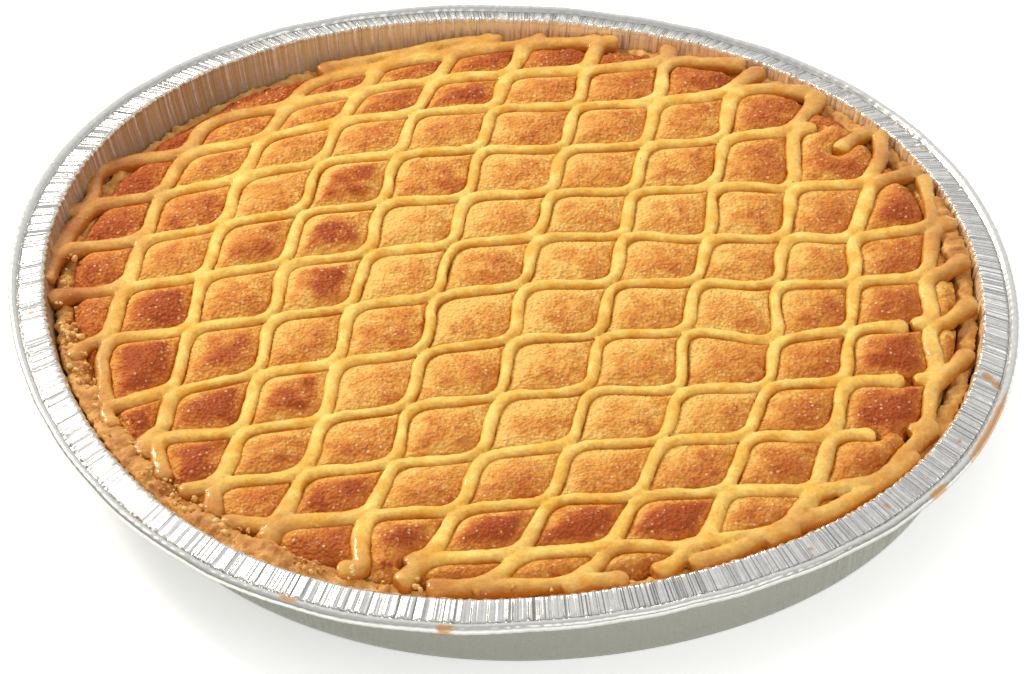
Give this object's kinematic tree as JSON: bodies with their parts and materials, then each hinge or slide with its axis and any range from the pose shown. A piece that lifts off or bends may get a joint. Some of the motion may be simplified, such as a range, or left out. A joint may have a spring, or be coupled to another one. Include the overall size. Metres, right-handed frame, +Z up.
{
  "type": "frangipane tart",
  "caption": "Round frangipane tart in a pressed foil dish: shortcrust shell, almond filling puffed up in pillows through an open slit-dough lattice.",
  "frame": {"origin": "middle of the dish on the surface it stands on", "axes": "+Z up, +X to the right and +Y away when the tart is seen from the front"},
  "size_m": [0.2802, 0.2792, 0.0298],
  "materials": {
    "foil": "bright pressed kitchen foil, fine radial creases, a few baked-on golden stains",
    "shortcrust": "baked shortcrust pastry, dry and crumbly, golden brown on its broken rim",
    "almond_filling": "baked almond filling, grainy with a faint sugar sheen, browned on top of each pillow",
    "glazed_lattice": "egg-washed dough strands, golden, half gloss, darker where they caught the heat"
  },
  "bodies": {
    "root": {"foil_dish": "foil", "pastry_shell": "shortcrust", "frangipane": "almond_filling", "lattice": "glazed_lattice"}
  },
  "joints": []
}
